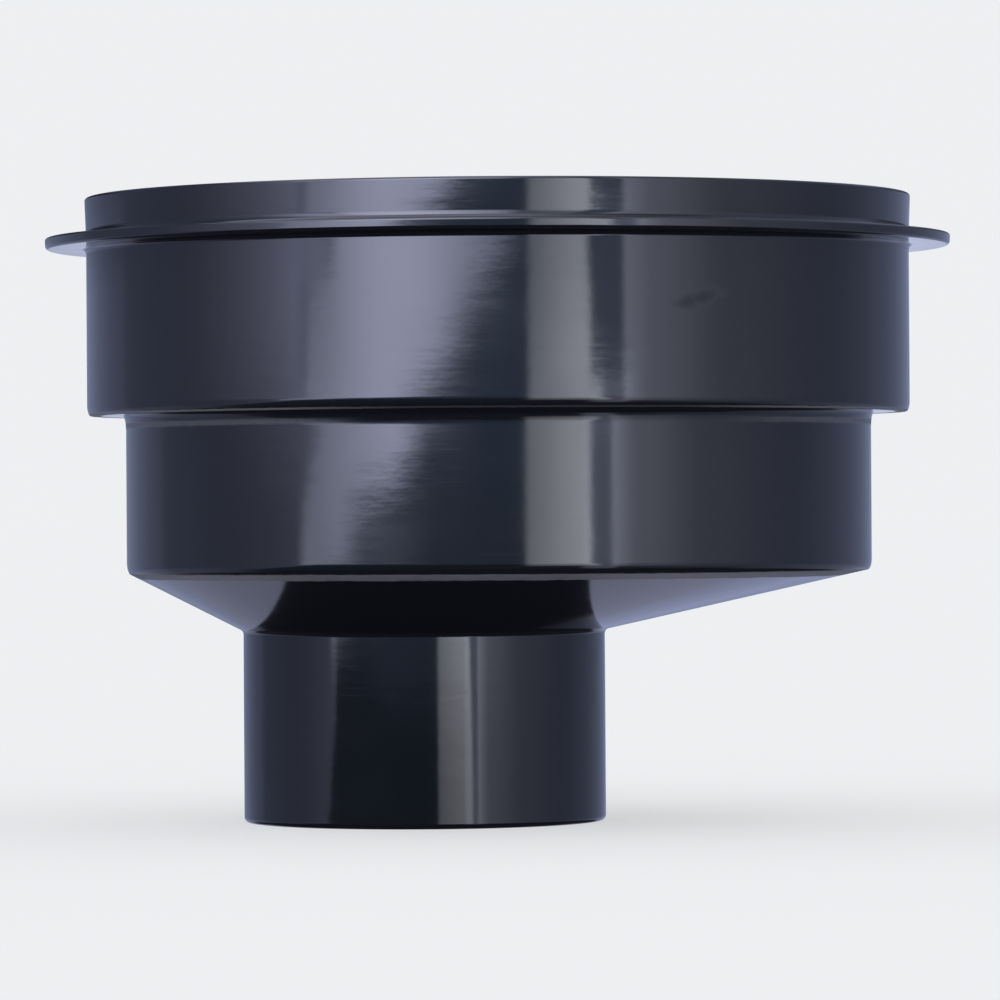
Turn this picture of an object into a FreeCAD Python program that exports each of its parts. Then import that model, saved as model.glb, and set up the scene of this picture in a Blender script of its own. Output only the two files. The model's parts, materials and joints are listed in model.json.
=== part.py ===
import FreeCAD, Part
import os

import Sketcher

# Rainwater gully moulded in one piece. From the top down it has a collar, a flange, an upper barrel,
# a step in to a lower barrel, an eccentric cone and an outlet spigot that stands to the -X side.
# The foot of the spigot is at z = 0 and the barrels stand on the Z axis.

NODE = "gully_body"

# Driving dimensions in millimetres
SIZES = {
    "spigot_diameter": 110.0,
    "spigot_length": 58.0,
    "spigot_wall": 3.5,
    "spigot_offset": 23.0,
    "cone_height": 18.0,
    "cone_wall": 3.0,
    "lower_height": 47.6,
    "step_width": 11.75,
    "barrel_diameter": 250.0,
    "barrel_height": 50.4,
    "barrel_wall": 4.0,
    "ledge_thickness": 4.0,
    "flange_width": 12.5,
    "flange_thickness": 3.3,
    "collar_height": 12.2,
    "corner_round": 3.0,
    "step_root": 4.5,
    "flange_top_round": 0.6,
    "flange_under_round": 1.1,
    "flange_root": 1.5,
    "collar_root": 2.5,
    "rim_round": 0.8,
    "neck_root": 1.5,
    "foot_round": 1.0,
    "inside_round": 1.5,
}

# Radii, worked out from the driving dimensions
SPIGOT_RADIUS = "sizes.spigot_diameter / 2"
BORE_RADIUS = f"{SPIGOT_RADIUS} - sizes.spigot_wall"
BARREL_RADIUS = "sizes.barrel_diameter / 2"
LOWER_RADIUS = f"{BARREL_RADIUS} - sizes.step_width"
FLANGE_RADIUS = f"{BARREL_RADIUS} + sizes.flange_width"
INLET_RADIUS = f"{BARREL_RADIUS} - sizes.barrel_wall"
CHAMBER_RADIUS = f"{LOWER_RADIUS} - sizes.barrel_wall"

# Heights above the foot
FOOT = "0"
CONE_BOTTOM = "sizes.spigot_length"
CONE_TOP = f"{CONE_BOTTOM} + sizes.cone_height"
STEP = f"{CONE_TOP} + sizes.lower_height"
FLANGE_BOTTOM = f"{STEP} + sizes.barrel_height"
FLANGE_TOP = f"{FLANGE_BOTTOM} + sizes.flange_thickness"
RIM = f"{FLANGE_TOP} + sizes.collar_height"
BORE_TOP = f"{CONE_BOTTOM} + sizes.cone_wall"
CHAMBER_BOTTOM = f"{CONE_TOP} + sizes.cone_wall"
LEDGE = f"{STEP} + sizes.ledge_thickness"

# Centres along X of the two round axes
BARREL_AXIS = "0"
SPIGOT_AXIS = "-sizes.spigot_offset"

FULL_TURN = 360
ON_AXIS = "0"

# An edge belongs to a ring if its sample points lie within this distance of it
MATCH = 1e-4
SAMPLES = 7

# The hollow part holds less than this share of the solid outside form
HOLLOW_SHARE = 0.5


def make_sheet(doc):
    """Spreadsheet with one named cell for each driving dimension."""
    sheet = doc.addObject("Spreadsheet::Sheet", "sizes")
    for row, (alias, value) in enumerate(SIZES.items(), start=1):
        sheet.set(f"A{row}", alias)
        sheet.set(f"B{row}", str(value))
        sheet.setAlias(f"B{row}", alias)
    doc.recompute()
    return sheet


def number(sheet, expression):
    """Present value of an expression of the sheet's cells."""
    return float(sheet.evalExpression(expression))


def new_sketch(body, name, role):
    """Sketch on one of the body's own origin planes."""
    plane = next(item for item in body.Origin.OriginFeatures if item.Role == role)
    sketch = body.newObject("Sketcher::SketchObject", name)
    sketch.AttachmentSupport = [(plane, "")]
    sketch.MapMode = "FlatFace"
    return sketch


def profile_sketch(body, sheet, name, corners):
    """Closed outline in the XZ plane through (radius, height) pairs of expressions."""
    sketch = new_sketch(body, name, "XZ_Plane")
    points = [FreeCAD.Vector(number(sheet, r), number(sheet, z), 0) for r, z in corners]
    count = len(points)
    for index, point in enumerate(points):
        sketch.addGeometry(Part.LineSegment(point, points[(index + 1) % count]))
    for index in range(count):
        sketch.addConstraint(Sketcher.Constraint("Coincident", index, 2, (index + 1) % count, 1))
    for index, (radius, height) in enumerate(corners):
        if radius == ON_AXIS:
            sketch.addConstraint(Sketcher.Constraint("PointOnObject", index, 1, -2))
        else:
            across = Sketcher.Constraint("DistanceX", -1, 1, index, 1, points[index].x)
            sketch.setExpression(f"Constraints[{sketch.addConstraint(across)}]", radius)
        up = Sketcher.Constraint("DistanceY", -1, 1, index, 1, points[index].y)
        sketch.setExpression(f"Constraints[{sketch.addConstraint(up)}]", height)
    return sketch


def circle_sketch(body, sheet, name, axis, radius, height):
    """Level circle about one of the two round axes, at a height above the foot."""
    sketch = new_sketch(body, name, "XY_Plane")
    sketch.setExpression("AttachmentOffset.Base.x", axis)
    sketch.setExpression("AttachmentOffset.Base.z", height)
    centre = FreeCAD.Vector(0, 0, 0)
    sketch.addGeometry(Part.Circle(centre, FreeCAD.Vector(0, 0, 1), number(sheet, radius)))
    sketch.addConstraint(Sketcher.Constraint("Coincident", 0, 3, -1, 1))
    size = sketch.addConstraint(Sketcher.Constraint("Radius", 0, number(sheet, radius)))
    sketch.setExpression(f"Constraints[{size}]", radius)
    return sketch


def turned(body, kind, name, sketch):
    """Full turn of a profile about the barrels' axis, added or cut away."""
    feature = body.newObject(kind, name)
    feature.Profile = sketch
    feature.ReferenceAxis = (sketch, ["V_Axis"])
    feature.Angle = FULL_TURN
    return feature


def lofted(body, kind, name, lower, upper):
    """Straight-sided loft between two level circles, added or cut away."""
    feature = body.newObject(kind, name)
    feature.Profile = lower
    feature.Sections = [upper]
    feature.Ruled = True
    return feature


def ring_edges(sheet, shape, axis, radius, height):
    """Names of the edges that lie on one level circle."""
    centre = FreeCAD.Vector(number(sheet, axis), 0, number(sheet, height))
    wanted = number(sheet, radius)
    names = []
    for index, edge in enumerate(shape.Edges, start=1):
        points = edge.discretize(SAMPLES)
        level = all(abs(point.z - centre.z) < MATCH for point in points)
        if level and all(abs((point - centre).Length - wanted) < MATCH for point in points):
            names.append(f"Edge{index}")
    if not names:
        raise RuntimeError(f"no edge at radius {wanted} and height {centre.z}")
    return names


def rounded(doc, body, sheet, name, size, rings):
    """Fillet of one named radius on the given level circles of the body."""
    doc.recompute()
    base = body.Tip
    edges = []
    for axis, radius, height in rings:
        edges += ring_edges(sheet, base.Shape, axis, radius, height)
    fillet = body.newObject("PartDesign::Fillet", name)
    fillet.Base = (base, edges)
    fillet.setExpression("Radius", size)
    return fillet


def add_outside(doc, body, sheet):
    """Solid outside form: turned barrels, eccentric cone and spigot, with their rounded edges."""
    barrels = profile_sketch(body, sheet, "barrel_profile", [
        (ON_AXIS, CONE_TOP),
        (LOWER_RADIUS, CONE_TOP),
        (LOWER_RADIUS, STEP),
        (BARREL_RADIUS, STEP),
        (BARREL_RADIUS, FLANGE_BOTTOM),
        (FLANGE_RADIUS, FLANGE_BOTTOM),
        (FLANGE_RADIUS, FLANGE_TOP),
        (BARREL_RADIUS, FLANGE_TOP),
        (BARREL_RADIUS, RIM),
        (ON_AXIS, RIM),
    ])
    turned(body, "PartDesign::Revolution", "barrels", barrels)

    cone_bottom = circle_sketch(body, sheet, "cone_bottom", SPIGOT_AXIS, SPIGOT_RADIUS, CONE_BOTTOM)
    cone_top = circle_sketch(body, sheet, "cone_top", BARREL_AXIS, LOWER_RADIUS, CONE_TOP)
    lofted(body, "PartDesign::AdditiveLoft", "cone", cone_bottom, cone_top)

    foot = circle_sketch(body, sheet, "foot", SPIGOT_AXIS, SPIGOT_RADIUS, FOOT)
    spigot = body.newObject("PartDesign::Pad", "spigot")
    spigot.Profile = foot
    spigot.setExpression("Length", CONE_BOTTOM)

    rounded(doc, body, sheet, "corner_rounds", "sizes.corner_round", [
        (BARREL_AXIS, BARREL_RADIUS, STEP),
        (BARREL_AXIS, LOWER_RADIUS, CONE_TOP),
    ])
    rounded(doc, body, sheet, "step_fillet", "sizes.step_root", [
        (BARREL_AXIS, LOWER_RADIUS, STEP),
    ])
    rounded(doc, body, sheet, "flange_top", "sizes.flange_top_round", [
        (BARREL_AXIS, FLANGE_RADIUS, FLANGE_TOP),
    ])
    rounded(doc, body, sheet, "flange_under", "sizes.flange_under_round", [
        (BARREL_AXIS, FLANGE_RADIUS, FLANGE_BOTTOM),
    ])
    rounded(doc, body, sheet, "flange_fillet", "sizes.flange_root", [
        (BARREL_AXIS, BARREL_RADIUS, FLANGE_BOTTOM),
    ])
    rounded(doc, body, sheet, "collar_fillet", "sizes.collar_root", [
        (BARREL_AXIS, BARREL_RADIUS, FLANGE_TOP),
    ])
    rounded(doc, body, sheet, "neck_fillet", "sizes.neck_root", [
        (SPIGOT_AXIS, SPIGOT_RADIUS, CONE_BOTTOM),
    ])


def add_inside(doc, body, sheet):
    """Hollow inside: stepped chamber, sloping floor and outlet bore, with their rounded edges."""
    chamber = profile_sketch(body, sheet, "chamber_profile", [
        (ON_AXIS, CHAMBER_BOTTOM),
        (CHAMBER_RADIUS, CHAMBER_BOTTOM),
        (CHAMBER_RADIUS, LEDGE),
        (INLET_RADIUS, LEDGE),
        (INLET_RADIUS, RIM),
        (ON_AXIS, RIM),
    ])
    turned(body, "PartDesign::Groove", "chamber", chamber)

    floor_bottom = circle_sketch(body, sheet, "floor_bottom", SPIGOT_AXIS, BORE_RADIUS, BORE_TOP)
    floor_top = circle_sketch(body, sheet, "floor_top", BARREL_AXIS, CHAMBER_RADIUS, CHAMBER_BOTTOM)
    lofted(body, "PartDesign::SubtractiveLoft", "sloping_floor", floor_bottom, floor_top)

    bore = circle_sketch(body, sheet, "bore", SPIGOT_AXIS, BORE_RADIUS, FOOT)
    outlet = body.newObject("PartDesign::Pocket", "outlet_bore")
    outlet.Profile = bore
    outlet.Reversed = True
    outlet.setExpression("Length", BORE_TOP)

    rounded(doc, body, sheet, "inside_rounds", "sizes.inside_round", [
        (BARREL_AXIS, INLET_RADIUS, LEDGE),
        (BARREL_AXIS, CHAMBER_RADIUS, LEDGE),
        (BARREL_AXIS, CHAMBER_RADIUS, CHAMBER_BOTTOM),
        (SPIGOT_AXIS, BORE_RADIUS, BORE_TOP),
    ])
    rounded(doc, body, sheet, "rim_rounds", "sizes.rim_round", [
        (BARREL_AXIS, BARREL_RADIUS, RIM),
        (BARREL_AXIS, INLET_RADIUS, RIM),
    ])
    rounded(doc, body, sheet, "foot_rounds", "sizes.foot_round", [
        (SPIGOT_AXIS, SPIGOT_RADIUS, FOOT),
        (SPIGOT_AXIS, BORE_RADIUS, FOOT),
    ])


def check(doc, body, solid_volume):
    """Stop unless every object is sound and the inside really was hollowed out."""
    for item in doc.Objects:
        if "Invalid" in item.State or "Error" in item.State:
            raise RuntimeError(f"{item.Name} failed: {item.State}")
    shape = body.Shape
    if shape.isNull() or not shape.isValid() or len(shape.Solids) != 1:
        raise RuntimeError("the body is not one valid solid")
    if shape.Volume > HOLLOW_SHARE * solid_volume:
        raise RuntimeError("the inside was not cut away")


def main():
    doc = FreeCAD.newDocument("rainwater_gully")
    sheet = make_sheet(doc)
    body = doc.addObject("PartDesign::Body", NODE)
    body.Label = NODE
    add_outside(doc, body, sheet)
    doc.recompute()
    solid_volume = body.Shape.Volume
    add_inside(doc, body, sheet)
    doc.recompute()
    check(doc, body, solid_volume)
    box = body.Shape.optimalBoundingBox()
    print(f"{NODE}: {box.XLength:.2f} x {box.YLength:.2f} x {box.ZLength:.2f} mm")
    print(f"volume {body.Shape.Volume / 1000:.1f} cm3")
    os.makedirs("parts", exist_ok=True)
    body.Shape.exportStep(f"parts/{body.Label}.step")


main()
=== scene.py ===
import json
import math
from collections import namedtuple

import bpy
from mathutils import Euler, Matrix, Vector


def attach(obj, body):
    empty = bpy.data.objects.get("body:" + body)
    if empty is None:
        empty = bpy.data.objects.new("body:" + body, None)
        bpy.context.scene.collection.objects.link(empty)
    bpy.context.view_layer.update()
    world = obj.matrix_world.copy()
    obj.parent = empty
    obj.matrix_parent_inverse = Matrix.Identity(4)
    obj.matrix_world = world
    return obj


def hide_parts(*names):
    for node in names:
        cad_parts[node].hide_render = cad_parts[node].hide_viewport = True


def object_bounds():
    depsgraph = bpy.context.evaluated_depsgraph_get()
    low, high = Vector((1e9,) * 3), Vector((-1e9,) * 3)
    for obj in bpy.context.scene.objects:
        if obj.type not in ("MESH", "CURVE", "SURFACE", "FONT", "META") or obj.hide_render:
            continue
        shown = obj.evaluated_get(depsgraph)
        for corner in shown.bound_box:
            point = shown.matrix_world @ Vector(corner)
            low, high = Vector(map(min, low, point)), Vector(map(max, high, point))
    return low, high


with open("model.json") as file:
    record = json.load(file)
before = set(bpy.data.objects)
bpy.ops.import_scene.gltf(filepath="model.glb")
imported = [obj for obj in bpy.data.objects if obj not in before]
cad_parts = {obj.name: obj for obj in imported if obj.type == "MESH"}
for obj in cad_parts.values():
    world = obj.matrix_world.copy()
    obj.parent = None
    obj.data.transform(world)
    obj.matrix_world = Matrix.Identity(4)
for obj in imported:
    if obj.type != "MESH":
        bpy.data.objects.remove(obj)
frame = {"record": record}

# Rainwater gully: one moulded black plastic body with a collar, a flange, a stepped barrel, an eccentric
# cone and an offset outlet spigot. Lengths are in metres and angles in degrees unless a name says otherwise.

CAD_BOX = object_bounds()
NODE = "gully_body"
MM = 0.001
MOUNTS = {mount["name"]: mount for mount in frame["record"]["mounts"]}

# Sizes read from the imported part
SPIGOT_AXIS = MOUNTS["outlet_spigot"]["pos_m"][0]
SPIGOT_RADIUS = MOUNTS["outlet_spigot"]["dims"]["r_mm"] * MM
BORE_RADIUS = MOUNTS["outlet_bore"]["dims"]["r_mm"] * MM
BARREL_RADIUS = MOUNTS["upper_barrel"]["dims"]["r_mm"] * MM
INLET_RADIUS = MOUNTS["inlet"]["dims"]["r_mm"] * MM
FLANGE_BOTTOM = MOUNTS["flange_underside"]["pos_m"][2]
LEDGE = MOUNTS["inner_ledge"]["pos_m"][2]
FLANGE_RADIUS = CAD_BOX[1].x
FOOT = CAD_BOX[0].z
RIM = CAD_BOX[1].z

# Sizes that the part's mounts don't state
BARREL_WALL = BARREL_RADIUS - INLET_RADIUS
LEDGE_THICKNESS = 4.0 * MM
STEP_WIDTH = 11.75 * MM
LOWER_HEIGHT = 47.6 * MM
CONE_HEIGHT = 18.0 * MM
CONE_WALL = 3.0 * MM
FLANGE_THICKNESS = 3.3 * MM
COLLAR_FLARE = 0.47 * MM
FLANGE_DRAFT = 0.15 * MM
LOWER_RADIUS = BARREL_RADIUS - STEP_WIDTH
CHAMBER_RADIUS = LOWER_RADIUS - BARREL_WALL
STEP = LEDGE - LEDGE_THICKNESS
CONE_TOP = STEP - LOWER_HEIGHT
CONE_BOTTOM = CONE_TOP - CONE_HEIGHT
FLANGE_TOP = FLANGE_BOTTOM + FLANGE_THICKNESS

# Rounded edges: a radius, or unequal reaches along the runs before and after the corner
STEP_CORNER_REACH = (3.3 * MM, 1.1 * MM)
STEP_ROOT_REACH = (1.1 * MM, 4.5 * MM)
CONE_CORNER_REACH = (3.1 * MM, 1.2 * MM)
FLANGE_TOP_ROUND = 0.6 * MM
FLANGE_UNDER_ROUND = 1.1 * MM
FLANGE_ROOT = 1.5 * MM
COLLAR_ROOT = 2.5 * MM
RIM_ROUND = 0.8 * MM
NECK_ROOT = 1.5 * MM
FOOT_ROUND = 1.6 * MM
FOOT_INSIDE_ROUND = 1.0 * MM
INSIDE_ROUND = 1.5 * MM

# Mesh resolution
SEGMENTS = 360
ARC_STEPS = 9
RING_SPACING = 4.0 * MM

# Forms of the numbers below. A ramp is (low, high, start, end): the result goes smoothly from start to end
# while a value goes from low to high, and from 0 to 1 where start and end are left out. A band is
# (low, high, fade): the result is 1 from low to high and 0 beyond the fade. A lean is (slope, offset).
# A noise is (scale, detail).

# Colour and roughness of the plastic
PLASTIC = (0.0045, 0.005, 0.0075, 1.0)
SHEEN_AND_WEAR_COLOUR = (0.095, 0.097, 0.112, 1.0)
PLASTIC_IOR = 1.5
PLASTIC_ROUGHNESS = (0.3, 0.7, 0.075, 0.1)
SCRATCH_ROUGHNESS = 0.06
SHEEN_AND_WEAR_ROUGHNESS = 0.4
SCUFF_ROUGHNESS = 0.7

# Ripple of the mould: level lines of its turning, slow waves and a faint hammered grain
TURNED_NOISE = (130.0, 3.0)
TURNED_STRETCH = (0.2, 0.2, 1.0)
TURNED_DEPTH = 0.026 * MM
WAVE_NOISE = (55.0, 1.0)
WAVE_DEPTH = 0.01 * MM
HAMMER_NOISE = (260.0, 2.0)
HAMMER_DEPTH = 0.008 * MM

# Fine level scratches in a few patches
HAIR_NOISE = (1900.0, 1.0)
HAIR_STRETCH = (0.02, 0.02, 1.0)
HAIR_RAMP = (0.62, 0.76)
PATCH_NOISE = (17.0, 1.0)
PATCH_RAMP = (0.48, 0.62)
SCRATCH_DEPTH = 0.0006 * MM

# Pale bands: on the corners of the cone and the step, rubbed plastic with a painted highlight; under the
# step, dust with a painted reflection. Bands by height, limits by radius, and strength by the distance to
# either side of the middle, which paints the highlight and the reflection paler at the sides than in the
# middle.
SHEEN_AND_WEAR_FADE = 0.3 * MM
CONE_SHEEN_AND_WEAR = (CONE_TOP - 1.7 * MM, CONE_TOP - 0.2 * MM, SHEEN_AND_WEAR_FADE)
CONE_SHEEN_AND_WEAR_RADIUS = (103.0 * MM, 105.0 * MM)
STEP_SHEEN_AND_WEAR = (STEP - 0.3 * MM, STEP + 0.4 * MM, SHEEN_AND_WEAR_FADE)
STEP_SHEEN_AND_WEAR_RADIUS = (120.0 * MM, 122.0 * MM)
STEP_SHEEN_AND_WEAR_ASIDE = (35.0 * MM, 80.0 * MM, 0.25, 0.95)
ROOT_DUST_AND_SHEEN = (STEP - 3.5 * MM, STEP - 2.8 * MM, 0.9 * MM)
ROOT_DUST_AND_SHEEN_RADIUS = (112.0 * MM, 114.5 * MM, 1.0 * MM)
ROOT_DUST_AND_SHEEN_ASIDE = (45.0 * MM, 85.0 * MM, 0.0, 0.7)
SHEEN_AND_WEAR_MIDDLE = 13.0 * MM
CHIP_NOISE = (240.0, 3.0)
CHIP_RAMP = (0.3, 0.6, 0.85, 1.0)
CHIP_DEPTH = 0.4 * MM

# Dull scuff at the front of the upper barrel
SCUFF_TURN = 27.4
SCUFF_HEIGHT = 154.8 * MM
SCUFF_TILT = 15.0
SCUFF_REACH = (8.6 * MM, 6.0 * MM, 2.7 * MM)
SCUFF_RAGGED = 1.6
SCUFF_RAMP = (1.4, 0.3)

# Camera fitted to the photo: 1000 pixels wide, focal length in pixels
IMAGE_WIDTH_PX = 1000
FOCAL_PX = 6240
SENSOR = 36.0
CAMERA_DISTANCE = 1.90
CAMERA_HEIGHT = 0.0947
AXIS_PX = (499, 509)
CAMERA_ROLL = -0.35

# Stage
FLOOR_HALF = 30.0
FLOOR_PAINT = 0.35
DOME_COLOUR = (0.85, 0.865, 0.885, 1.0)
STAGE_SIDES = 96
TENT_RADIUS = 1.1
TENT_BOTTOM = -0.6
TENT_TOP = 1.4
UNDER_RADIUS = 1.08
UNDER_LEVEL = -0.3

# Tints of the lights
BLACK = (0.0, 0.0, 0.0, 1.0)
SIDE_TINT = (0.86, 1.0, 1.55, 1.0)
FRONT_TINT = (0.7, 1.0, 1.55, 1.0)
FLOOR_TINT = (0.94, 1.0, 1.42, 1.0)
BACKDROP_TINT = (0.96, 1.0, 1.15, 1.0)
GLOW_TINT = (1.0, 1.0, 1.45, 1.0)
LEFT_TINT = (0.97, 1.0, 1.33, 1.0)
STRIP_TINT = (0.99, 1.0, 1.1, 1.0)
TOP_TINT = (0.96, 1.0, 1.3, 1.0)
GAP_TINT = (0.93, 1.0, 1.3, 1.0)
TAIL_TINT = (1.0, 1.0, 1.22, 1.0)
ROOM_TINT = (0.86, 1.0, 1.5, 1.0)
OVERHEAD_TINT = (0.96, 1.0, 1.25, 1.0)

# Light of the tent. A name with TURN goes by the angle round the body, which is 0 at the camera and grows
# to the right. A name with RISE goes by the height. A name with SOFT goes by the angle from an edge.

# Dim surroundings, darker in front, with the pale floor low down and the paler backdrop behind
FRONT_LEAN = (100.0, -57.0)
FRONT_EDGE_MOST = -56.0
FRONT_SOFT = (-1.5, 1.5)
FRONT_TURN = (60.0, 20.0)
FRONT_RISE = (0.04, 0.2, 0.0, 0.22)
WEDGE_LEAN = (-0.0011, -0.0242)
WEDGE_RISE = (0.0, 0.016, 0.1, 0.32)
SIDE_TURNS = ((-125.0, -95.0, 0.26, 0.33), (-117.0, -124.0, 0.0, 0.08))
SIDE_BACK_TURN = (-170.0, -145.0, 0.8, 1.0)
DIM_LEFT_TURN = (-112.0, -126.0)
DIM_LEFT_RISE = (0.19, 0.225, 0.0, 0.3)
DIM_UPPER_TURN = (115.0, 135.0)
DIM_UPPER_RISES = ((0.24, 0.32), (0.7, 0.5, 0.0, 0.85))
FLOOR_TURN = (70.0, 100.0)
FLOOR_RISE = (-0.04, -0.14, 0.0, 0.11)
BACKDROP_TURN = (163.0, 171.0, 0.0, 0.36)
BACKDROP_RISE = (0.0, 0.08)

# Left light, brightest in its middle, with uneven edges
LEFT_EDGE_RISES = ((0.08, 0.15, -59.5, -52.5), (0.185, 0.21, 0.0, 7.5))
LEFT_SOFT_START = -1.5
LEFT_SOFT_RISE = (0.1, 0.21, 2.0, 5.0)
RIGHT_LEAN = (365.0, -75.0)
RIGHT_STEP_RISES = (
    (0.074, 0.09, 4.0, -2.5),
    (0.096, 0.108, 0.0, 2.5),
    (0.135, 0.15, 0.0, 2.5),
    (0.165, 0.185, 0.0, -3.5),
)
RIGHT_BULGE_RISES = ((0.094, 0.112), (0.141, 0.121, 0.0, 5.6))
RIGHT_EDGE_MOST = 3.0
RIGHT_SOFT = (-6.0, 5.0)
LEFT_DIM_RISE = (0.13, 0.16, -58.0, -51.0)
LEFT_BRIGHT_TURN = -27.0
LEFT_STRENGTH = (2.5, 6.0)
LEFT_FALL_TURN = (-24.0, 2.0, 1.0, 0.5)

# Glow at the far left that rises towards the left light
GLOW_EDGE_RISE = (0.04, 0.06)
GLOW_START_TURN = -112.0
GLOW_WIDTH = 60.0
GLOW_MOST = 0.93
GLOW_POWER = 3.0
GLOW_SOFT = (-1.5, 1.5)
GLOW_RISE = (0.08, 0.19, 0.6, 2.0)
LOW_END_RISE = (-0.2, -0.08)

# Faint spot under the left light
SPOT_TURNS = ((-52.0, -46.0), (-16.0, -34.0))
SPOT_BAND = (0.07, 0.078, 0.006)

# Strip light, brighter towards its right edge, which leans
STRIP_EDGE_RISES = (
    (-0.04, 0.09, 29.3, 26.5),
    (0.135, 0.144, 0.0, 0.9),
    (0.146, 0.155, 0.0, -3.4),
    (0.185, 0.21, 0.0, -0.7),
)
STRIP_TURN = (6.6, 8.9)
STRIP_SOFT = (-1.0, 1.5)
STRIP_WIDTH_RISE = (0.0, 0.1, 30.0, 19.0)
STRIP_DIM_RISE = (0.147, 0.17, 2.4, 1.6)
STRIP_BRIGHT = 5.2
STRIP_RISES = ((0.165, 0.21, 1.0, 0.74), (-0.14, -0.07), (0.7, 0.25, 0.3, 1.0))
LOWER_RISE = (-0.05, 0.09, 0.42, 1.0)

# Soft light overhead that joins the left light at the top
TOP_TURNS = ((-70.0, -45.0), (22.0, -48.0, 0.15, 2.4))
TOP_RISE = (0.26, 0.5)

# Gap to the right of the strip light, a narrow line beyond it and the glow that falls off behind that
GAP_TURNS = ((23.0, 26.0), (36.0, 33.0, 0.0, 0.95))
GAP_RISE = (0.17, 0.12, 0.3, 1.0)
GAP_END_TURNS = ((24.0, 27.0), (37.0, 33.0, 0.0, 1.5))
GAP_END_BAND = (0.138, 0.149, 0.004)
LINE_TURNS = ((31.5, 33.5), (40.0, 35.5))
LINE_RISE = (0.2, 0.1, 0.45, 0.85)
TAIL_TURNS = ((63.0, 36.0, 0.0, 0.85), (105.0, 45.0, 0.0, 0.5))
TAIL_START_TURN = (31.5, 33.5)
TAIL_LOWER_LEAN = (0.6, 0.4)

# Light from below, by place across and along its disc and by radius
UNDER_BEHIND_ACROSS = ((-0.34, -0.29), (0.22, 0.17))
UNDER_BEHIND_ALONG = (0.3, 0.45)
UNDER_BESIDE_RADIUS = (0.86, 0.96)
UNDER_BESIDE_ALONG = (-0.35, -0.1)
UNDER_STRENGTH = (0.36, 0.05)

# Dim room above and below the tent, by direction
ROOM_ALONG = (-0.2, 0.3, 0.08, 0.5)
OVERHEAD_UP = (0.3, 0.7)
OVERHEAD_ALONG = (0.6, -0.1, 0.3, 1.0)
OVERHEAD_ACROSS = ((0.5, -0.1, 0.3, 2.4), (-0.9, -0.5, 0.2, 1.0))

# Corner of the body's closed profile, with its circle's centre and how it is rounded
Corner = namedtuple("Corner", "radius height centre round_by reach", defaults=(0.0, None, None))


def body_path():
    """Outside from the rim down to the foot, then inside from the foot back up to the rim."""
    return [
        Corner(BARREL_RADIUS + COLLAR_FLARE, RIM, round_by=RIM_ROUND),
        Corner(BARREL_RADIUS, FLANGE_TOP, round_by=COLLAR_ROOT),
        Corner(FLANGE_RADIUS, FLANGE_TOP, round_by=FLANGE_TOP_ROUND),
        Corner(FLANGE_RADIUS - FLANGE_DRAFT, FLANGE_BOTTOM, round_by=FLANGE_UNDER_ROUND),
        Corner(BARREL_RADIUS, FLANGE_BOTTOM, round_by=FLANGE_ROOT),
        Corner(BARREL_RADIUS, STEP, reach=STEP_CORNER_REACH),
        Corner(LOWER_RADIUS, STEP, reach=STEP_ROOT_REACH),
        Corner(LOWER_RADIUS, CONE_TOP, reach=CONE_CORNER_REACH),
        Corner(SPIGOT_RADIUS, CONE_BOTTOM, SPIGOT_AXIS, NECK_ROOT),
        Corner(SPIGOT_RADIUS, FOOT, SPIGOT_AXIS, FOOT_ROUND),
        Corner(BORE_RADIUS, FOOT, SPIGOT_AXIS, FOOT_INSIDE_ROUND),
        Corner(BORE_RADIUS, CONE_BOTTOM + CONE_WALL, SPIGOT_AXIS, INSIDE_ROUND),
        Corner(CHAMBER_RADIUS, CONE_TOP + CONE_WALL, round_by=INSIDE_ROUND),
        Corner(CHAMBER_RADIUS, LEDGE, round_by=INSIDE_ROUND),
        Corner(INLET_RADIUS, LEDGE, round_by=INSIDE_ROUND),
        Corner(INLET_RADIUS, RIM, round_by=RIM_ROUND),
    ]


def corner_points(path, angle):
    """Corners of a path as points in space at one angle about each corner's own centre."""
    direction = Vector((math.cos(angle), math.sin(angle), 0.0))
    points = []
    for corner in path:
        points.append(Vector((corner.centre, 0.0, corner.height)) + corner.radius * direction)
    return points


def arc(before, corner, after, round_by, reach):
    """Points of the curve that rounds one corner, each with its direction of travel."""
    inward = (before - corner).normalized()
    onward = (after - corner).normalized()
    if round_by:
        even = round_by / math.tan(inward.angle(onward) / 2)
        reach = (even, even)
    back = inward * reach[0]
    ahead = onward * reach[1]
    points = []
    for step in range(ARC_STEPS + 1):
        turn = math.pi / 2 * step / ARC_STEPS
        place = corner + back * (1 - math.sin(turn)) + ahead * (1 - math.cos(turn))
        travel = ahead * math.sin(turn) - back * math.cos(turn)
        points.append((place, travel.normalized()))
    return points


def rounded_profile(path, angle):
    """Points of a closed path at one angle, with arcs at its corners."""
    places = corner_points(path, angle)
    points = []
    for index, corner in enumerate(path):
        after = places[(index + 1) % len(places)]
        points += arc(places[index - 1], places[index], after, corner.round_by, corner.reach)
    return points


def filled_profile(points, counts):
    """The same closed profile with its long straight runs divided into the given counts."""
    filled = []
    for index, (place, travel) in enumerate(points):
        onward = points[(index + 1) % len(points)][0]
        filled.append((place, travel))
        for step in range(1, counts[index]):
            filled.append((place.lerp(onward, step / counts[index]), (onward - place).normalized()))
    return filled


def new_piece(name, vertices, faces):
    """Mesh object of the given faces, linked to the scene."""
    mesh = bpy.data.meshes.new(name)
    mesh.from_pydata(vertices, [], faces)
    piece = bpy.data.objects.new(name, mesh)
    bpy.context.scene.collection.objects.link(piece)
    return piece


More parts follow.
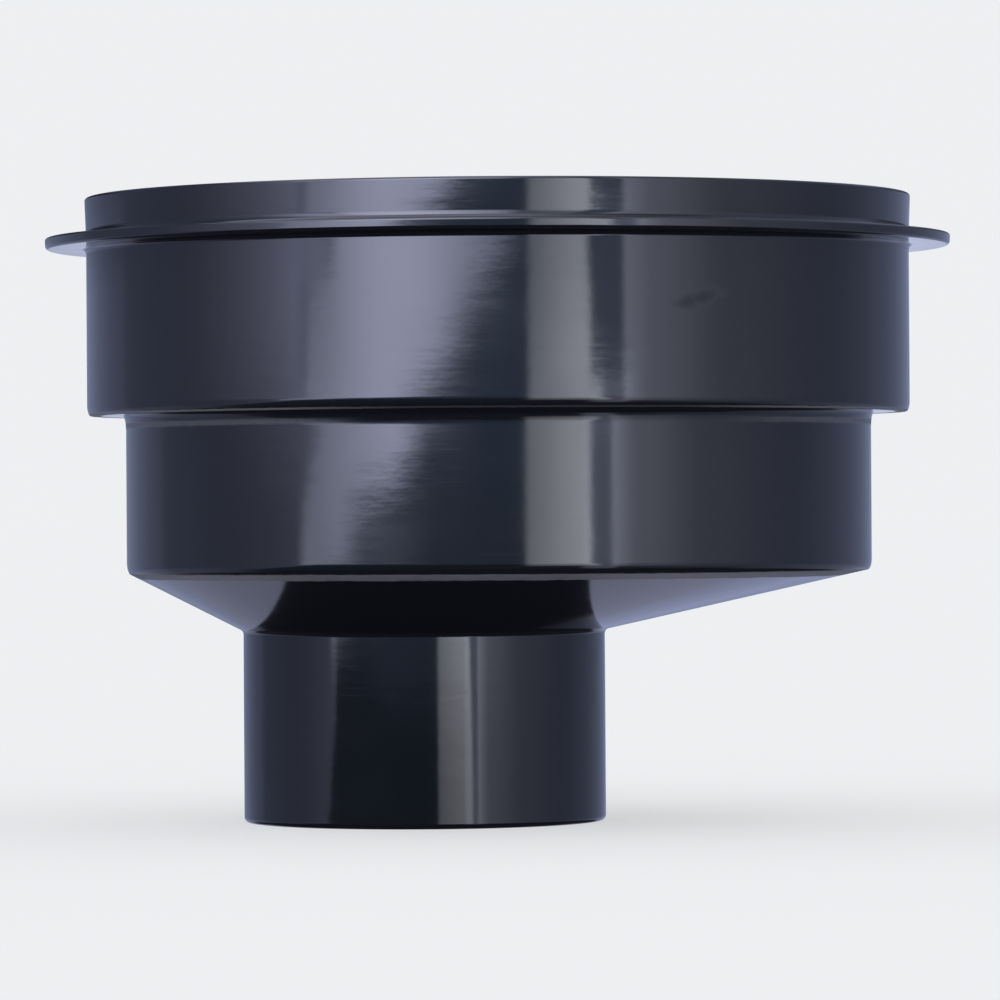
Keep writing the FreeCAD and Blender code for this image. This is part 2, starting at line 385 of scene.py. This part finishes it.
def build_body():
    """Closed mesh of the whole body: rings of quads through the rounded profile at every angle."""
    path = body_path()
    first = [place for place, _ in rounded_profile(path, 0.0)]
    runs = [(first[(i + 1) % len(first)] - first[i]).length for i in range(len(first))]
    counts = [max(1, round(run / RING_SPACING)) for run in runs]
    rows = []
    for segment in range(SEGMENTS):
        angle = 2 * math.pi * segment / SEGMENTS
        rows.append(filled_profile(rounded_profile(path, angle), counts))
    rings = len(rows[0])
    vertices = []
    normals = []
    faces = []
    for segment in range(SEGMENTS):
        here = segment * rings
        there = ((segment + 1) % SEGMENTS) * rings
        for ring in range(rings):
            place, travel = rows[segment][ring]
            around = rows[(segment + 1) % SEGMENTS][ring][0] - rows[segment - 1][ring][0]
            vertices.append(place)
            normals.append(travel.cross(around).normalized())
            below = (ring + 1) % rings
            faces.append((here + ring, here + below, there + below, there + ring))
    piece = new_piece("gully_shell", vertices, faces)
    piece.data.validate()
    piece.data.shade_smooth()
    piece.data.normals_split_custom_set_from_vertices(normals)
    return piece


class Nodes:
    """Short calls that add nodes to a tree and link sockets or set plain values."""

    def __init__(self, tree):
        self.tree = tree
        tree.nodes.clear()

    def add(self, kind, settings=None, **inputs):
        node = self.tree.nodes.new(kind)
        for name, value in (settings or {}).items():
            setattr(node, name, value)
        for name, value in inputs.items():
            self.feed(node.inputs[name.replace("_", " ")], value)
        return node

    def feed(self, socket, value):
        if isinstance(value, bpy.types.NodeSocket):
            self.tree.links.new(value, socket)
        else:
            socket.default_value = value

    def math(self, operation, *values):
        node = self.add("ShaderNodeMath", {"operation": operation})
        for socket, value in zip(node.inputs, values):
            self.feed(socket, value)
        return node.outputs[0]

    def product(self, first, *others):
        for other in others:
            first = self.math("MULTIPLY", first, other)
        return first

    def total(self, first, *others):
        for other in others:
            first = self.math("ADD", first, other)
        return first

    def lean(self, value, slope, offset):
        """Straight line: the value times a slope, plus an offset."""
        return self.math("MULTIPLY_ADD", value, slope, offset)

    def smooth(self, value, low, high, start=0.0, end=1.0):
        """Smooth change from start to end while the value goes from low to high."""
        node = self.add("ShaderNodeMapRange", {"interpolation_type": "SMOOTHSTEP"}, Value=value)
        for name, number in (("From Min", low), ("From Max", high), ("To Min", start), ("To Max", end)):
            self.feed(node.inputs[name], number)
        return node.outputs["Result"]

    def shaped(self, value, *ramps):
        """Product of smooth ramps of one value."""
        return self.product(*[self.smooth(value, *ramp) for ramp in ramps])

    def summed(self, value, *ramps):
        """Sum of smooth ramps of one value."""
        return self.total(*[self.smooth(value, *ramp) for ramp in ramps])

    def band(self, value, low, high, fade):
        """1 while the value is between low and high, fading to 0 outside them."""
        return self.shaped(value, (low - fade, low), (high + fade, high))

    def mix(self, factor, first, second, **settings):
        """Second value over the first by a factor, as the node's settings say."""
        node = self.add("ShaderNodeMix", settings)
        for name, value in (("Factor", factor), ("A", first), ("B", second)):
            self.feed(node.inputs[name], value)
        return node.outputs["Result"]

    def tinted(self, *shares):
        """Colour that adds up tints, each times its amount."""
        colour = BLACK
        for tint, amount in shares:
            colour = self.mix(amount, colour, tint, data_type="RGBA", blend_type="ADD", clamp_factor=False)
        return colour

    def raised(self, value, *shares):
        """A value plus other values, each times its own number."""
        for other, number in shares:
            value = self.math("MULTIPLY_ADD", other, number, value)
        return value

    def place(self, kind="Object"):
        return self.add("ShaderNodeTexCoord").outputs[kind]

    def axes(self, vector):
        return self.add("ShaderNodeSeparateXYZ", Vector=vector).outputs

    def stretched(self, vector, scale):
        return self.add("ShaderNodeMapping", Vector=vector, Scale=scale).outputs["Vector"]

    def length(self, vector):
        return self.add("ShaderNodeVectorMath", {"operation": "LENGTH"}, Vector=vector).outputs["Value"]

    def radius(self, vector):
        """Distance from the barrels' upright axis."""
        return self.length(self.stretched(vector, (1.0, 1.0, 0.0)))

    def noise(self, vector, scale, detail):
        return self.add("ShaderNodeTexNoise", Vector=vector, Scale=scale, Detail=detail).outputs["Fac"]

    def shine(self, colour):
        """End a material as plain light of one colour."""
        light = self.add("ShaderNodeEmission", Color=colour, Strength=1.0)
        self.add("ShaderNodeOutputMaterial", Surface=light.outputs["Emission"])


def new_material(name):
    """Empty node material and the calls that fill it."""
    material = bpy.data.materials.new(name)
    material.use_nodes = True
    return material, Nodes(material.node_tree)


def sheen_and_wear(nodes, place, chips):
    """Pale bands along the outside corners of the cone and the step, rubbed plastic with a painted highlight,
    and a line of dust under the step with a painted reflection.
    """
    parts = nodes.axes(place)
    radius = nodes.radius(place)
    ragged = nodes.total(parts["Z"], nodes.lean(chips, CHIP_DEPTH, -CHIP_DEPTH / 2))
    # Distance from the middle: the step's band and the dust line are painted paler at the sides, as a
    # highlight and a reflection.
    aside = nodes.math("ABSOLUTE", nodes.math("SUBTRACT", parts["X"], SHEEN_AND_WEAR_MIDDLE))
    cone_sheen_and_wear = nodes.product(nodes.band(ragged, *CONE_SHEEN_AND_WEAR), nodes.smooth(radius, *CONE_SHEEN_AND_WEAR_RADIUS))
    step_sheen_and_wear = nodes.product(
        nodes.band(ragged, *STEP_SHEEN_AND_WEAR),
        nodes.smooth(radius, *STEP_SHEEN_AND_WEAR_RADIUS),
        nodes.smooth(aside, *STEP_SHEEN_AND_WEAR_ASIDE),
    )
    root_dust_and_sheen = nodes.product(
        nodes.band(ragged, *ROOT_DUST_AND_SHEEN),
        nodes.band(radius, *ROOT_DUST_AND_SHEEN_RADIUS),
        nodes.smooth(aside, *ROOT_DUST_AND_SHEEN_ASIDE),
    )
    sheen_and_wear_mask = nodes.math("MAXIMUM", nodes.math("MAXIMUM", cone_sheen_and_wear, step_sheen_and_wear), root_dust_and_sheen)
    return nodes.product(sheen_and_wear_mask, nodes.smooth(chips, *CHIP_RAMP))


def scuff_mark(nodes, place, chips):
    """Ragged oval on the upper barrel's wall."""
    turn = math.radians(SCUFF_TURN)
    centre = (BARREL_RADIUS * math.sin(turn), -BARREL_RADIUS * math.cos(turn), SCUFF_HEIGHT)
    rotation = (0.0, -math.radians(SCUFF_TILT), turn)
    local = nodes.add("ShaderNodeMapping", {"vector_type": "TEXTURE"}, Vector=place, Location=centre,
                      Rotation=rotation, Scale=SCUFF_REACH).outputs["Vector"]
    apart = nodes.total(nodes.length(local), nodes.lean(chips, SCUFF_RAGGED, -SCUFF_RAGGED / 2))
    return nodes.smooth(apart, *SCUFF_RAMP)


def make_plastic():
    """Near-black moulded plastic: satin gloss, faint mould ripple, rubbed corners with a painted highlight,
    dust under the step with a painted reflection, a scuff and scratches.
    """
    material, nodes = new_material("black_plastic")
    place = nodes.place()
    turned = nodes.noise(nodes.stretched(place, TURNED_STRETCH), *TURNED_NOISE)
    wave = nodes.noise(place, *WAVE_NOISE)
    hammer = nodes.noise(place, *HAMMER_NOISE)
    hair = nodes.noise(nodes.stretched(place, HAIR_STRETCH), *HAIR_NOISE)
    patch = nodes.noise(place, *PATCH_NOISE)
    scratch = nodes.product(nodes.smooth(hair, *HAIR_RAMP), nodes.smooth(patch, *PATCH_RAMP))
    chips = nodes.noise(place, *CHIP_NOISE)
    sheen_and_wear_mask = sheen_and_wear(nodes, place, chips)
    scuff = scuff_mark(nodes, place, chips)

    relief = nodes.raised(
        0.0,
        (turned, TURNED_DEPTH),
        (wave, WAVE_DEPTH),
        (hammer, HAMMER_DEPTH),
        (scratch, -SCRATCH_DEPTH),
    )
    bump = nodes.add("ShaderNodeBump", Strength=1.0, Distance=1.0, Height=relief).outputs["Normal"]
    rough = nodes.raised(
        nodes.smooth(wave, *PLASTIC_ROUGHNESS),
        (scratch, SCRATCH_ROUGHNESS),
        (sheen_and_wear_mask, SHEEN_AND_WEAR_ROUGHNESS),
        (scuff, SCUFF_ROUGHNESS),
    )
    # The pale colour paints a highlight on the rubbed corners and a reflection on the dust line under the
    # step.
    colour = nodes.mix(sheen_and_wear_mask, PLASTIC, SHEEN_AND_WEAR_COLOUR, data_type="RGBA")
    shader = nodes.add("ShaderNodeBsdfPrincipled", Base_Color=colour, Roughness=rough, IOR=PLASTIC_IOR,
                       Normal=bump)
    nodes.add("ShaderNodeOutputMaterial", Surface=shader.outputs["BSDF"])
    return material


def make_floor():
    """Wide pale light table at the level of the foot: part paint, part its own light."""
    signs = ((-1, -1), (1, -1), (1, 1), (-1, 1))
    corners = [(FLOOR_HALF * x, FLOOR_HALF * y, FOOT) for x, y in signs]
    floor = new_piece("floor", corners, [tuple(range(len(corners)))])
    material, nodes = new_material("floor_paint")
    paint = nodes.add("ShaderNodeBsdfDiffuse", Color=(FLOOR_PAINT, FLOOR_PAINT, FLOOR_PAINT, 1.0))
    glow = nodes.add("ShaderNodeEmission", Color=DOME_COLOUR, Strength=1.0 - FLOOR_PAINT)
    both = nodes.add("ShaderNodeAddShader")
    nodes.feed(both.inputs[0], paint.outputs["BSDF"])
    nodes.feed(both.inputs[1], glow.outputs["Emission"])
    nodes.add("ShaderNodeOutputMaterial", Surface=both.outputs["Shader"])
    floor.data.materials.append(material)
    floor.visible_glossy = False


def stage_ring(radius, level):
    """Corners of a level circle about the barrels' axis."""
    angles = [2 * math.pi * side / STAGE_SIDES for side in range(STAGE_SIDES)]
    return [(radius * math.cos(angle), radius * math.sin(angle), level) for angle in angles]


def show_in_reflections_only(piece):
    """Hide a light from the camera and from all light paths but reflections."""
    piece.visible_camera = False
    piece.visible_diffuse = False
    piece.visible_shadow = False


def make_tent():
    """Round wall of soft boxes that only reflections see."""
    vertices = stage_ring(TENT_RADIUS, TENT_BOTTOM) + stage_ring(TENT_RADIUS, TENT_TOP)
    faces = []
    for side in range(STAGE_SIDES):
        after = (side + 1) % STAGE_SIDES
        faces.append((side, after, STAGE_SIDES + after, STAGE_SIDES + side))
    tent = new_piece("light_tent", vertices, faces)
    tent.data.materials.append(tent_light())
    show_in_reflections_only(tent)


def tent_light():
    """Light of the tent by the angle round the body and by the height."""
    material, nodes = new_material("tent_light")
    parts = nodes.axes(nodes.place())
    towards = nodes.product(parts["Y"], -1.0)
    azimuth = nodes.math("DEGREES", nodes.math("ARCTAN2", parts["X"], towards))
    height = parts["Z"]
    front_edge = nodes.math("MINIMUM", nodes.lean(height, *FRONT_LEAN), FRONT_EDGE_MOST)
    left_edge = nodes.summed(height, *LEFT_EDGE_RISES)
    colour = nodes.tinted(
        *surroundings(nodes, azimuth, height, front_edge),
        (GLOW_TINT, left_glow(nodes, azimuth, height, front_edge, left_edge)),
        (LEFT_TINT, left_light(nodes, azimuth, height, left_edge)),
        (LEFT_TINT, nodes.product(nodes.shaped(azimuth, *SPOT_TURNS), nodes.band(height, *SPOT_BAND))),
        (STRIP_TINT, strip_light(nodes, azimuth, height)),
        (TOP_TINT, nodes.product(nodes.smooth(height, *TOP_RISE), nodes.shaped(azimuth, *TOP_TURNS))),
        (GAP_TINT, gap_light(nodes, azimuth, height)),
        (TAIL_TINT, tail_light(nodes, azimuth, height)),
    )
    nodes.shine(colour)
    return material


def surroundings(nodes, azimuth, height, front_edge):
    """Tints and amounts of the dim sides, the darker stretch in front, the floor and the backdrop."""
    past_front = nodes.math("SUBTRACT", azimuth, front_edge)
    front = nodes.product(nodes.smooth(past_front, *FRONT_SOFT), nodes.smooth(azimuth, *FRONT_TURN))
    wedge = nodes.math("MAXIMUM", nodes.lean(azimuth, *WEDGE_LEAN), 0.0)
    above = nodes.math("SUBTRACT", height, wedge)
    level = nodes.total(nodes.smooth(above, *WEDGE_RISE), nodes.smooth(height, *FRONT_RISE))
    turned = nodes.math("ABSOLUTE", azimuth)
    dim_left = nodes.product(nodes.smooth(azimuth, *DIM_LEFT_TURN), nodes.smooth(height, *DIM_LEFT_RISE))
    dim_upper = nodes.product(nodes.shaped(height, *DIM_UPPER_RISES), nodes.smooth(turned, *DIM_UPPER_TURN))
    dimmer = nodes.math("SUBTRACT", 1.0, nodes.math("MAXIMUM", dim_left, dim_upper))
    side = nodes.product(
        nodes.summed(azimuth, *SIDE_TURNS),
        nodes.smooth(azimuth, *SIDE_BACK_TURN),
        nodes.math("SUBTRACT", 1.0, front),
        dimmer,
    )
    floor = nodes.product(nodes.smooth(turned, *FLOOR_TURN), nodes.smooth(height, *FLOOR_RISE))
    behind = nodes.product(nodes.smooth(turned, *BACKDROP_TURN), nodes.smooth(height, *BACKDROP_RISE), dimmer)
    return (
        (SIDE_TINT, side),
        (FRONT_TINT, nodes.product(front, level)),
        (FLOOR_TINT, floor),
        (BACKDROP_TINT, behind),
    )


def left_glow(nodes, azimuth, height, front_edge, left_edge):
    """Glow that rises from the far left up to the front's edge low down and the left light's higher up."""
    glow_edge = nodes.mix(nodes.smooth(height, *GLOW_EDGE_RISE), front_edge, left_edge, data_type="FLOAT")
    before_edge = nodes.math("SUBTRACT", glow_edge, azimuth)
    near = nodes.lean(azimuth, 1 / GLOW_WIDTH, -GLOW_START_TURN / GLOW_WIDTH)
    near = nodes.math("MINIMUM", nodes.math("MAXIMUM", near, 0.0), GLOW_MOST)
    return nodes.product(
        nodes.math("POWER", near, GLOW_POWER),
        nodes.smooth(before_edge, *GLOW_SOFT),
        nodes.shaped(height, GLOW_RISE, LOW_END_RISE),
    )


def left_light(nodes, azimuth, height, left_edge):
    """Left light between its left edge and its leaning, uneven right edge."""
    right_edge = nodes.total(
        nodes.lean(height, *RIGHT_LEAN),
        nodes.shaped(height, *RIGHT_BULGE_RISES),
        nodes.summed(height, *RIGHT_STEP_RISES),
    )
    right_edge = nodes.math("MINIMUM", right_edge, RIGHT_EDGE_MOST)
    past_left = nodes.math("SUBTRACT", azimuth, left_edge)
    before_right = nodes.math("SUBTRACT", right_edge, azimuth)
    return nodes.product(
        nodes.smooth(past_left, LEFT_SOFT_START, nodes.smooth(height, *LEFT_SOFT_RISE)),
        nodes.smooth(before_right, *RIGHT_SOFT),
        nodes.smooth(azimuth, nodes.smooth(height, *LEFT_DIM_RISE), LEFT_BRIGHT_TURN, *LEFT_STRENGTH),
        nodes.smooth(azimuth, *LEFT_FALL_TURN),
    )


def strip_light(nodes, azimuth, height):
    """Strip light from its upright left edge to its leaning right edge."""
    before_edge = nodes.math("SUBTRACT", nodes.summed(height, *STRIP_EDGE_RISES), azimuth)
    width = nodes.smooth(height, *STRIP_WIDTH_RISE)
    dim = nodes.smooth(height, *STRIP_DIM_RISE)
    return nodes.product(
        nodes.smooth(azimuth, *STRIP_TURN),
        nodes.smooth(before_edge, *STRIP_SOFT),
        nodes.smooth(before_edge, width, 0.0, dim, STRIP_BRIGHT),
        nodes.shaped(height, LOWER_RISE, *STRIP_RISES),
    )


def gap_light(nodes, azimuth, height):
    """Dim light in the gap beside the strip light, brighter at the gap's lower end."""
    gap = nodes.product(nodes.shaped(azimuth, *GAP_TURNS), nodes.smooth(height, *GAP_RISE))
    gap_end = nodes.product(nodes.shaped(azimuth, *GAP_END_TURNS), nodes.band(height, *GAP_END_BAND))
    return nodes.total(gap, gap_end)


def tail_light(nodes, azimuth, height):
    """Narrow line beyond the gap and the glow that falls off behind it, dimmer low down."""
    line = nodes.product(nodes.shaped(azimuth, *LINE_TURNS), nodes.smooth(height, *LINE_RISE))
    tail = nodes.product(nodes.summed(azimuth, *TAIL_TURNS), nodes.smooth(azimuth, *TAIL_START_TURN))
    lower = nodes.lean(nodes.smooth(height, *LOWER_RISE), *TAIL_LOWER_LEAN)
    return nodes.product(nodes.total(tail, line), lower, nodes.smooth(height, *LOW_END_RISE))


def make_under_light():
    """Soft light from below, brighter behind and at the sides, which only reflections see."""
    rim = stage_ring(UNDER_RADIUS, UNDER_LEVEL)
    under = new_piece("under_light", rim, [tuple(range(STAGE_SIDES))])
    material, nodes = new_material("under_glow")
    place = nodes.place()
    parts = nodes.axes(place)
    behind = nodes.product(
        nodes.shaped(parts["X"], *UNDER_BEHIND_ACROSS),
        nodes.smooth(parts["Y"], *UNDER_BEHIND_ALONG),
    )
    beside = nodes.product(
        nodes.smooth(nodes.radius(place), *UNDER_BESIDE_RADIUS),
        nodes.smooth(parts["Y"], *UNDER_BESIDE_ALONG),
    )
    glow = nodes.lean(nodes.math("MAXIMUM", behind, beside), *UNDER_STRENGTH)
    nodes.shine(nodes.tinted((FLOOR_TINT, glow)))
    under.data.materials.append(material)
    show_in_reflections_only(under)


def make_world():
    """Plain pale dome as backdrop and soft light, and a dim room for reflections beyond the tent."""
    world = bpy.data.worlds.new("studio")
    bpy.context.scene.world = world
    world.use_nodes = True
    nodes = Nodes(world.node_tree)
    parts = nodes.axes(nodes.place("Generated"))
    overhead = nodes.product(
        nodes.smooth(parts["Z"], *OVERHEAD_UP),
        nodes.smooth(parts["Y"], *OVERHEAD_ALONG),
        nodes.shaped(parts["X"], *OVERHEAD_ACROSS),
    )
    room = nodes.tinted((ROOM_TINT, nodes.smooth(parts["Y"], *ROOM_ALONG)), (OVERHEAD_TINT, overhead))
    mirrored = nodes.add("ShaderNodeLightPath").outputs["Is Glossy Ray"]
    shown = nodes.mix(mirrored, DOME_COLOUR, room, data_type="RGBA")
    background = nodes.add("ShaderNodeBackground", Color=shown, Strength=1.0)
    nodes.add("ShaderNodeOutputWorld", Surface=background.outputs["Background"])


def make_camera():
    """Long lens in front of the body, level with its middle, turned so that the axis falls on its pixel."""
    data = bpy.data.cameras.new("camera")
    data.sensor_width = SENSOR
    data.lens = FOCAL_PX / IMAGE_WIDTH_PX * SENSOR
    camera = bpy.data.objects.new("camera", data)
    bpy.context.scene.collection.objects.link(camera)
    camera.location = (0.0, -CAMERA_DISTANCE, CAMERA_HEIGHT)
    right = (IMAGE_WIDTH_PX / 2 - AXIS_PX[0]) / FOCAL_PX
    up = (AXIS_PX[1] - IMAGE_WIDTH_PX / 2) / FOCAL_PX
    aim = Vector((right, 1.0, up)).to_track_quat("-Z", "Y")
    roll = Euler((0.0, 0.0, math.radians(CAMERA_ROLL))).to_quaternion()
    camera.rotation_mode = "QUATERNION"
    camera.rotation_quaternion = aim @ roll
    bpy.context.scene.camera = camera


shell = build_body()
shell.data.materials.append(make_plastic())
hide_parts(NODE)
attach(shell, "root")
make_floor()
make_tent()
make_under_light()
make_world()
make_camera()
bpy.context.scene.view_settings.view_transform = "Standard"
